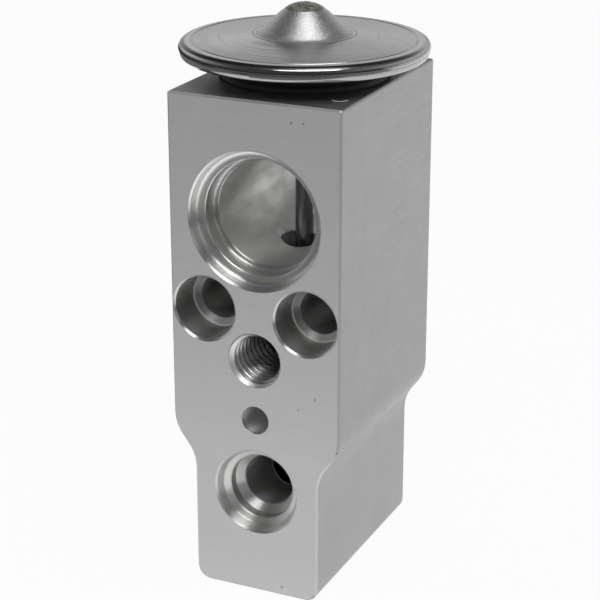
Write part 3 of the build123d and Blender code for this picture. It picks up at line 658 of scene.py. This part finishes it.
def spring_coil(first, last):
    """Wire of the coil between two shares of its height, with ground ends and a cap at each cut."""
    path_steps, wire_steps = 90, 16
    height = SPRING_TOP_Z - SPRING_SEAT_Z
    climb = math.atan2(height / SPRING_TURNS, 2 * math.pi * SPRING_RADIUS)
    verts = []
    for i in range(path_steps + 1):
        share = first + (last - first) * i / path_steps
        turn = 2 * math.pi * SPRING_TURNS * share
        out = Vector((math.cos(turn), math.sin(turn), 0))
        up = Vector((math.sin(turn) * math.sin(climb), -math.cos(turn) * math.sin(climb), math.cos(climb)))
        middle = out * SPRING_RADIUS + Vector((0, 0, SPRING_SEAT_Z + height * share))
        for j in range(wire_steps):
            angle = 2 * math.pi * j / wire_steps
            point = middle + (out * math.cos(angle) + up * math.sin(angle)) * SPRING_WIRE_RADIUS
            point.z = min(max(point.z, SPRING_SEAT_Z), SPRING_TOP_Z)
            verts.append(tuple(point))
    first_cap = tuple(range(wire_steps))
    last_cap = tuple(path_steps * wire_steps + j for j in reversed(range(wire_steps)))
    return verts, ring_faces(path_steps, wire_steps) + [first_cap, last_cap]


# Superheat spring, in two halves, the lower and the upper one
for name, first, last, body, end_z in (("superheat_spring_lower", 0.0, 0.5, "screw_seal", SPRING_SEAT_Z),
                                       ("superheat_spring_upper", 0.5, 1.0, "valve_train", SPRING_TOP_Z)):
    coil = new_piece(name, *spring_coil(first, last), materials["superheat_spring"])
    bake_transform(coil)
    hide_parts("superheat_spring")


# Studio: pale floor, white background, soft lamps

def flat_sheet(name, corners):
    """One face with an empty material. Gives the object and the material's node tree."""
    mesh = bpy.data.meshes.new(name)
    mesh.from_pydata(corners, [], [tuple(range(len(corners)))])
    sheet = bpy.data.objects.new(name, mesh)
    bpy.context.scene.collection.objects.link(sheet)
    material = bpy.data.materials.new(name)
    material.use_nodes = True
    material.node_tree.nodes.clear()
    mesh.materials.append(material)
    return sheet, material.node_tree


def seen_by_eye(tree):
    """1 for camera, glossy and transmission rays, else 0."""
    path = tree.nodes.new("ShaderNodeLightPath")
    total = path.outputs["Is Camera Ray"]
    for name in ("Is Glossy Ray", "Is Transmission Ray"):
        larger = tree.nodes.new("ShaderNodeMath")
        larger.operation = "MAXIMUM"
        tree.links.new(total, larger.inputs[0])
        tree.links.new(path.outputs[name], larger.inputs[1])
        total = larger.outputs[0]
    return total


def studio_floor():
    """Nearly white to the eye, with a small share of the floor's own shading for the shadow."""
    reach, glow_share, paint = 3.0, 0.95, 0.8
    floor, tree = flat_sheet("studio_floor",
                             [(-reach, -reach, 0), (reach, -reach, 0), (reach, reach, 0), (-reach, reach, 0)])
    new, link = tree.nodes.new, tree.links.new
    diffuse = new("ShaderNodeBsdfDiffuse")
    diffuse.inputs["Color"].default_value = (paint, paint, paint, 1)
    glow = new("ShaderNodeEmission")
    glow.inputs["Color"].default_value = (1, 1, 1, 1)
    glow.inputs["Strength"].default_value = 1.0
    share = new("ShaderNodeMath")
    share.operation = "MULTIPLY"
    link(seen_by_eye(tree), share.inputs[0])
    share.inputs[1].default_value = glow_share
    mixer = new("ShaderNodeMixShader")
    link(share.outputs[0], mixer.inputs[0])
    link(diffuse.outputs[0], mixer.inputs[1])
    link(glow.outputs[0], mixer.inputs[2])
    out = new("ShaderNodeOutputMaterial")
    link(mixer.outputs[0], out.inputs["Surface"])


def dark_card(name, corners, level):
    """Flag that only reflections see, so that polished edges have something dark to show."""
    card, tree = flat_sheet(name, corners)
    glow = tree.nodes.new("ShaderNodeEmission")
    glow.inputs["Color"].default_value = (level, level, level, 1)
    out = tree.nodes.new("ShaderNodeOutputMaterial")
    tree.links.new(glow.outputs[0], out.inputs["Surface"])
    card.visible_camera = False
    card.visible_diffuse = False
    card.visible_transmission = False
    card.visible_shadow = False


def floor_card(name, near, far, level):
    """Grey U just above the floor, round the front and both sides, between two distances."""
    outlines = []
    for reach in (near, far):
        half = 1.3 * reach
        outlines.append([(half + 0.1, 0.1), (half + 0.05, -reach), (-half, -reach), (-half - 0.05, 0.25 + reach)])
    corners = outlines[0] + outlines[1][::-1]
    dark_card(name, [(x, y, 0.0005) for x, y in corners], level)


def studio_world():
    """White behind the valve. Polished metal mirrors a room that is bright low on its walls and
    dark above, and everything else gets a plain light."""
    world = bpy.data.worlds.new("studio")
    world.use_nodes = True
    bpy.context.scene.world = world
    tree = world.node_tree
    tree.nodes.clear()
    new, link = tree.nodes.new, tree.links.new
    parts = new("ShaderNodeSeparateXYZ")
    link(new("ShaderNodeTexCoord").outputs["Generated"], parts.inputs[0])
    # brightness of the room by height, from the horizon at 0 to straight up at 1
    walls = new("ShaderNodeValToRGB")
    link(parts.outputs[2], walls.inputs[0])
    stops = walls.color_ramp.elements
    stops[0].position, stops[0].color = 0.0, (0.40, 0.40, 0.40, 1)
    stops[1].position, stops[1].color = 1.0, (0.30, 0.30, 0.30, 1)
    for position, level in ((0.22, 0.70), (0.36, 0.62), (0.50, 0.24), (0.64, 0.13), (0.85, 0.16)):
        stops.new(position).color = (level, level, level, 1)
    # the side of the room that the line face looks at is dim
    front = new("ShaderNodeMapRange")
    for socket, value in zip(front.inputs[1:], (-0.75, 0.1, 0.28, 1.0)):
        socket.default_value = value
    link(parts.outputs[1], front.inputs[0])
    room = new("ShaderNodeVectorMath")
    room.operation = "SCALE"
    link(walls.outputs[0], room.inputs[0])
    link(front.outputs[0], room.inputs["Scale"])
    white = new("ShaderNodeMix")
    white.data_type = "RGBA"
    link(new("ShaderNodeLightPath").outputs["Is Camera Ray"], white.inputs[0])
    link(room.outputs[0], white.inputs[6])
    white.inputs[7].default_value = (1, 1, 1, 1)
    light = new("ShaderNodeBackground")
    light.inputs["Strength"].default_value = 0.45
    back = new("ShaderNodeBackground")
    link(white.outputs[2], back.inputs["Color"])
    mixer = new("ShaderNodeMixShader")
    link(seen_by_eye(tree), mixer.inputs[0])
    link(light.outputs[0], mixer.inputs[1])
    link(back.outputs[0], mixer.inputs[2])
    out = new("ShaderNodeOutputWorld")
    link(mixer.outputs[0], out.inputs["Surface"])


def softbox(name, place, size, power):
    middle_of_valve = Vector((0.0, 0.0, 0.045))
    data = bpy.data.lights.new(name, "AREA")
    data.shape = "RECTANGLE"
    data.size, data.size_y = size
    data.energy = power
    lamp = bpy.data.objects.new(name, data)
    bpy.context.scene.collection.objects.link(lamp)
    lamp.location = place
    aim(lamp, middle_of_valve)


studio_floor()
studio_world()
floor_card("near_card", 0.078, 0.2, 0.22)
floor_card("far_card", 0.2, 1.5, 0.06)
softbox("top_lamp", (0.09, -0.05, 0.55), (0.24, 0.24), 0.55)
softbox("front_lamp", (0.18, -0.32, 0.56), (0.50, 0.14), 0.95)
